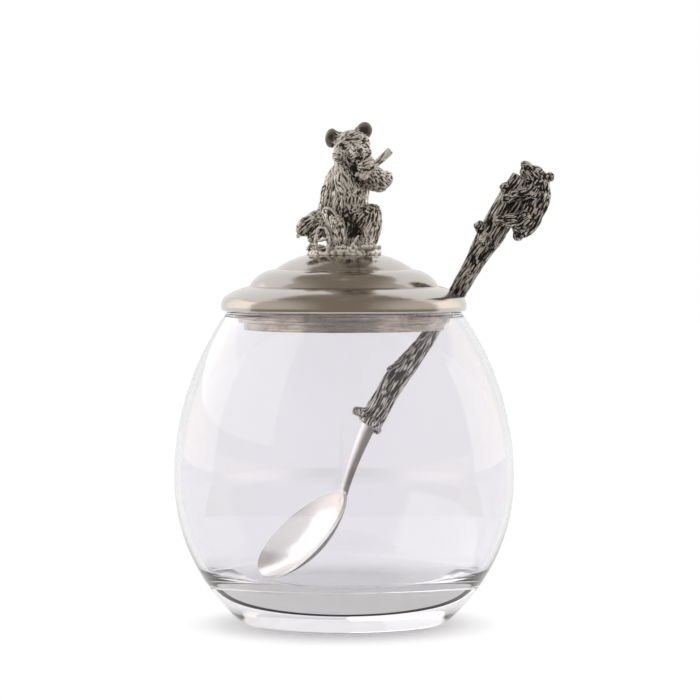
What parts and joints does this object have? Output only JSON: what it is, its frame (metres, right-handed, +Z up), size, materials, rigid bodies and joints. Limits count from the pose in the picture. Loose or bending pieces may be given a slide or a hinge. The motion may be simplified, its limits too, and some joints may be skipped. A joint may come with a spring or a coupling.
{
  "type": "honey pot",
  "caption": "Egg-shaped clear glass honey pot with a tiered lift-off pewter lid, a seated bear finial and a branch-handled spoon that leans out through a notch in the lid.",
  "frame": {"origin": "centre of the jar's flat base", "axes": "+Z up, the bear faces -Y, the spoon leans towards +X"},
  "size_m": [0.127, 0.115, 0.17],
  "materials": {
    "clear_glass": "clear, fire-polished",
    "polished_pewter": "polished cast pewter",
    "brushed_pewter": "brushed pewter strip",
    "antique_pewter": "cast pewter with dark patina in the recesses",
    "bark_pewter": "cast pewter with bark and fur, dark patina",
    "polished_steel": "polished stainless steel",
    "screw_steel": "plain"
  },
  "bodies": {
    "jar": {"glass_jar": "clear_glass"},
    "lid": {"lid_dome": "polished_pewter", "lid_collar": "brushed_pewter", "finial_plinth": "antique_pewter", "finial_bear": "antique_pewter", "finial_branch": "antique_pewter", "finial_screw": "screw_steel", "finial_washer": "screw_steel"},
    "spoon": {"spoon_bowl": "polished_steel", "spoon_handle": "bark_pewter", "handle_bear": "bark_pewter"}
  },
  "joints": [
    {"name": "lid_lift", "type": "slide", "parent": "jar", "child": "lid", "axis": [0, 0, 1], "range_m": [0, 0.12]},
    {"name": "spoon_draw", "type": "slide", "parent": "jar", "child": "spoon", "axis": [0.515, 0, 0.8572], "range_m": [0, 0.03]}
  ]
}
